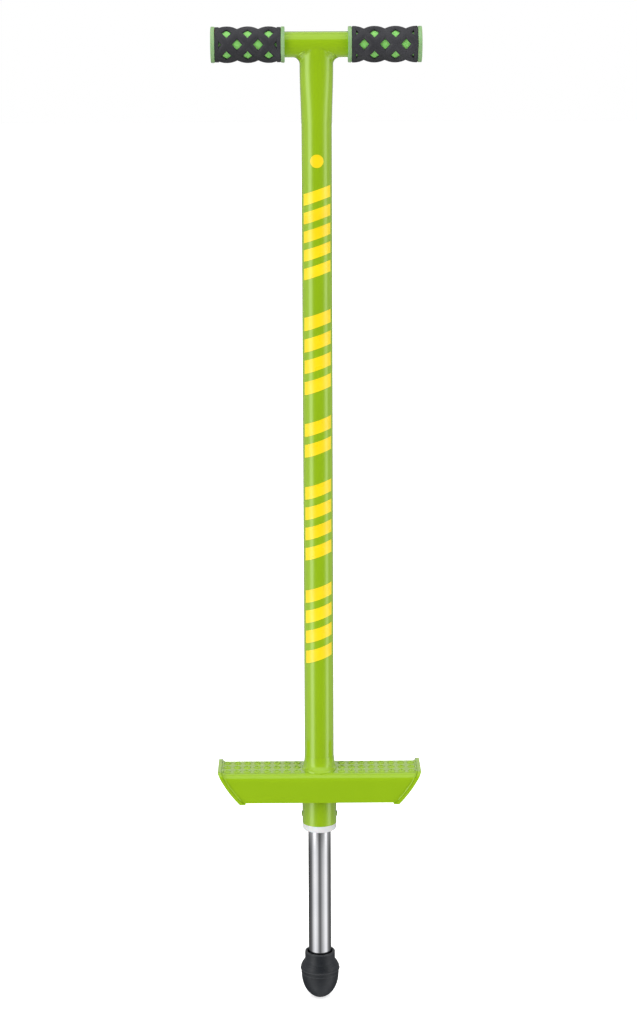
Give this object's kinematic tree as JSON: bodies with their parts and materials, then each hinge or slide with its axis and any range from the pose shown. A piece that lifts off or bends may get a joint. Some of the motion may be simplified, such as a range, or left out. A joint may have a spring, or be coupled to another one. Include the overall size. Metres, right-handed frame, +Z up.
{
  "type": "pogo stick",
  "caption": "Child's spring pogo stick: painted steel T-frame with lattice rubber grips, treaded foot channel, and a sprung chrome rod with a domed rubber tip.",
  "frame": {"origin": "lowest point of the rubber tip, on the stick's axis, spring extended", "axes": "+Z up along the stick's axis, +X along the handlebar to the right of someone facing the front, +Y from the front to the back"},
  "size_m": [0.208, 0.057, 0.9984],
  "materials": {
    "green_paint": "glossy lime green powder coat",
    "grip_green": "satin light green moulded plastic",
    "grip_rubber": "matt soft black rubber",
    "yellow_print": "glossy yellow print",
    "white_nylon": "satin white nylon",
    "chrome": "bright chrome plate",
    "turned_steel": "turned steel",
    "zinc_steel": "zinc plated steel",
    "spring_steel": "oiled dark spring steel",
    "bumper_rubber": "matt black rubber",
    "tip_rubber": "satin black moulded rubber"
  },
  "bodies": {
    "frame": {"main_tube": "green_paint", "handlebar_tube": "green_paint", "left_grip_core": "grip_green", "right_grip_core": "grip_green", "left_grip_lattice": "grip_rubber", "right_grip_lattice": "grip_rubber", "foot_channel": "green_paint", "left_foot_end_plate": "green_paint", "right_foot_end_plate": "green_paint", "tube_weld_bell": "green_paint", "upright_bands": "yellow_print", "lower_sleeve": "green_paint", "guide_bush": "white_nylon", "bush_screws": "green_paint", "rebound_bumper": "bumper_rubber", "main_spring": "spring_steel", "upper_spring_washer": "zinc_steel", "spring_stop": "zinc_steel"},
    "spring_seat": {"lower_spring_washer": "zinc_steel"},
    "plunger": {"piston_rod": "chrome", "piston_head": "turned_steel", "piston_roll_pin": "turned_steel", "rubber_tip": "tip_rubber", "tip_wear_disc": "zinc_steel"}
  },
  "joints": [
    {"name": "rod_slide", "type": "slide", "parent": "frame", "child": "spring_seat", "axis": [0, 0, 1], "range_m": [0, 0.095], "stiffness_N_per_m": 9500, "springref_m": -0.012, "deforming": ["main_spring"]},
    {"name": "rod_twist", "type": "hinge", "parent": "spring_seat", "child": "plunger", "pos_m": [0, 0, 0.2335], "axis": [0, 0, 1], "continuous": true}
  ]
}
